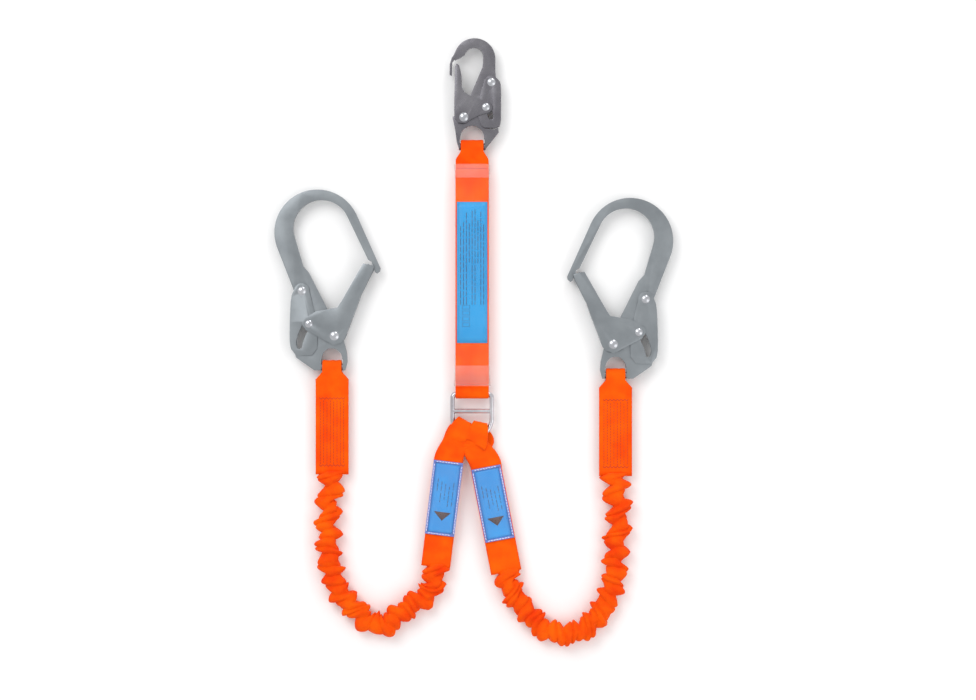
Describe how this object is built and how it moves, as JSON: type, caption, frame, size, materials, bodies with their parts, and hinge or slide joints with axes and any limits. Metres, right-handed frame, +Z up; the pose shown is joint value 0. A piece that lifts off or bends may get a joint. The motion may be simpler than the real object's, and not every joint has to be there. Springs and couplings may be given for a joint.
{
  "type": "shock absorbing lanyard",
  "caption": "Fall protection lanyard: energy absorber with a snap hook, a connector ring and elastic legs that end in scaffold hooks with locking gates.",
  "frame": {"origin": "on the surface it lies on, under the middle of its box", "axes": "+Z up off the surface, +Y from the legs towards the snap hook, +X to the right seen from above"},
  "size_m": [0.478, 0.7302, 0.0217],
  "materials": {
    "zinc_steel": "zinc plated, satin",
    "dark_zinc_steel": "dark zinc plated, satin",
    "rivet_steel": "polished domed heads",
    "spring_steel": "spring wire",
    "bright_zinc": "bright zinc plated wire",
    "orange_webbing": "woven polyester, matt",
    "clear_film": "clear shrink film",
    "label_blue": "printed label",
    "clear_vinyl": "clear vinyl",
    "card_blue": "printed card",
    "elastic": "covered elastic",
    "thread": "sewing thread"
  },
  "bodies": {
    "absorber": {"tear_webbing": "orange_webbing", "upper_loop": "orange_webbing", "lower_loop": "orange_webbing", "film_sleeve": "clear_film", "info_label": "label_blue"},
    "snap_hook": {"snap_hook_body": "dark_zinc_steel", "snap_hook_gate_rivet": "rivet_steel", "snap_hook_lever_rivet": "rivet_steel"},
    "snap_gate": {"snap_hook_gate": "dark_zinc_steel", "snap_hook_link_pin": "rivet_steel", "snap_hook_gate_spring": "spring_steel"},
    "snap_lever": {"snap_hook_lock_lever": "dark_zinc_steel", "snap_hook_lever_spring": "spring_steel"},
    "ring": {"connector_ring": "bright_zinc"},
    "left_leg": {"left_leg_ring_loop": "orange_webbing", "left_leg_pouch": "clear_vinyl", "left_leg_pouch_card": "card_blue", "left_leg_sleeve": "orange_webbing", "left_leg_elastic_core": "elastic"},
    "left_leg_end": {"left_leg_hook_loop": "orange_webbing", "left_leg_stitching": "thread"},
    "left_hook": {"left_hook_body": "zinc_steel", "left_hook_gate_rivet": "rivet_steel", "left_hook_lever_rivet": "rivet_steel"},
    "left_gate": {"left_hook_gate": "zinc_steel", "left_hook_link_pin": "rivet_steel", "left_hook_gate_spring": "spring_steel"},
    "left_lever": {"left_hook_lock_lever": "zinc_steel", "left_hook_lever_spring": "spring_steel"},
    "right_leg": {"right_leg_ring_loop": "orange_webbing", "right_leg_pouch": "clear_vinyl", "right_leg_pouch_card": "card_blue", "right_leg_sleeve": "orange_webbing", "right_leg_elastic_core": "elastic"},
    "right_leg_end": {"right_leg_hook_loop": "orange_webbing", "right_leg_stitching": "thread"},
    "right_hook": {"right_hook_body": "zinc_steel", "right_hook_gate_rivet": "rivet_steel", "right_hook_lever_rivet": "rivet_steel"},
    "right_gate": {"right_hook_gate": "zinc_steel", "right_hook_link_pin": "rivet_steel", "right_hook_gate_spring": "spring_steel"},
    "right_lever": {"right_hook_lock_lever": "zinc_steel", "right_hook_lever_spring": "spring_steel"}
  },
  "joints": [
    {"name": "snap_hook_fold", "type": "hinge", "parent": "absorber", "child": "snap_hook", "pos_m": [-0.002, 0.2353, 0.01085], "axis": [1, 0, 0], "range_deg": [-75, 75]},
    {"name": "snap_gate_open", "type": "hinge", "parent": "snap_hook", "child": "snap_gate", "pos_m": [-0.012, 0.2703, 0.01085], "axis": [0, 0, -1], "range_deg": [0, 22], "stiffness_Nm_per_rad": 0.15, "springref_deg": -28.65},
    {"name": "snap_lever_press", "type": "hinge", "parent": "snap_hook", "child": "snap_lever", "pos_m": [0.021, 0.3123, 0.01085], "axis": [0, 0, -1], "range_deg": [0, 4.6], "stiffness_Nm_per_rad": 0.1, "springref_deg": -17.19},
    {"name": "ring_swing", "type": "hinge", "parent": "absorber", "child": "ring", "pos_m": [-0.002, -0.0612, 0.01085], "axis": [1, 0, 0], "range_deg": [-60, 60]},
    {"name": "left_leg_swing", "type": "hinge", "parent": "ring", "child": "left_leg", "pos_m": [-0.002, -0.0902, 0.01085], "axis": [0, 0, -1], "range_deg": [0, 15]},
    {"name": "left_leg_stretch", "type": "slide", "parent": "left_leg", "child": "left_leg_end", "axis": [0, 1, 0], "range_m": [0, 0.15], "stiffness_N_per_m": 40, "deforming": ["left_leg_sleeve", "left_leg_elastic_core"]},
    {"name": "left_hook_fold", "type": "hinge", "parent": "left_leg_end", "child": "left_hook", "pos_m": [-0.17, -0.0287, 0.01085], "axis": [1, 0, 0], "range_deg": [-75, 75]},
    {"name": "left_gate_open", "type": "hinge", "parent": "left_hook", "child": "left_gate", "pos_m": [-0.167, 0.0083, 0.01085], "axis": [0, 0, 1], "range_deg": [0, 44], "stiffness_Nm_per_rad": 0.15, "springref_deg": -28.65},
    {"name": "left_lever_press", "type": "hinge", "parent": "left_hook", "child": "left_lever", "pos_m": [-0.206, 0.0623, 0.01085], "axis": [0, 0, 1], "range_deg": [0, 9], "stiffness_Nm_per_rad": 0.1, "springref_deg": -17.19},
    {"name": "right_leg_swing", "type": "hinge", "parent": "ring", "child": "right_leg", "pos_m": [-0.002, -0.0902, 0.01085], "axis": [0, 0, 1], "range_deg": [0, 15]},
    {"name": "right_leg_stretch", "type": "slide", "parent": "right_leg", "child": "right_leg_end", "axis": [0, 1, 0], "range_m": [0, 0.15], "stiffness_N_per_m": 40, "deforming": ["right_leg_sleeve", "right_leg_elastic_core"]},
    {"name": "right_hook_fold", "type": "hinge", "parent": "right_leg_end", "child": "right_hook", "pos_m": [0.17, -0.0387, 0.01085], "axis": [1, 0, 0], "range_deg": [-75, 75]},
    {"name": "right_gate_open", "type": "hinge", "parent": "right_hook", "child": "right_gate", "pos_m": [0.167, -0.0017, 0.01085], "axis": [0, 0, -1], "range_deg": [0, 44], "stiffness_Nm_per_rad": 0.15, "springref_deg": -28.65},
    {"name": "right_lever_press", "type": "hinge", "parent": "right_hook", "child": "right_lever", "pos_m": [0.206, 0.0523, 0.01085], "axis": [0, 0, -1], "range_deg": [0, 9], "stiffness_Nm_per_rad": 0.1, "springref_deg": -17.19}
  ],
  "couplings": [
    {"joint": "snap_lever_press", "follows": "snap_gate_open", "ratio": 0.2},
    {"joint": "left_lever_press", "follows": "left_gate_open", "ratio": 0.2},
    {"joint": "right_lever_press", "follows": "right_gate_open", "ratio": 0.2}
  ]
}
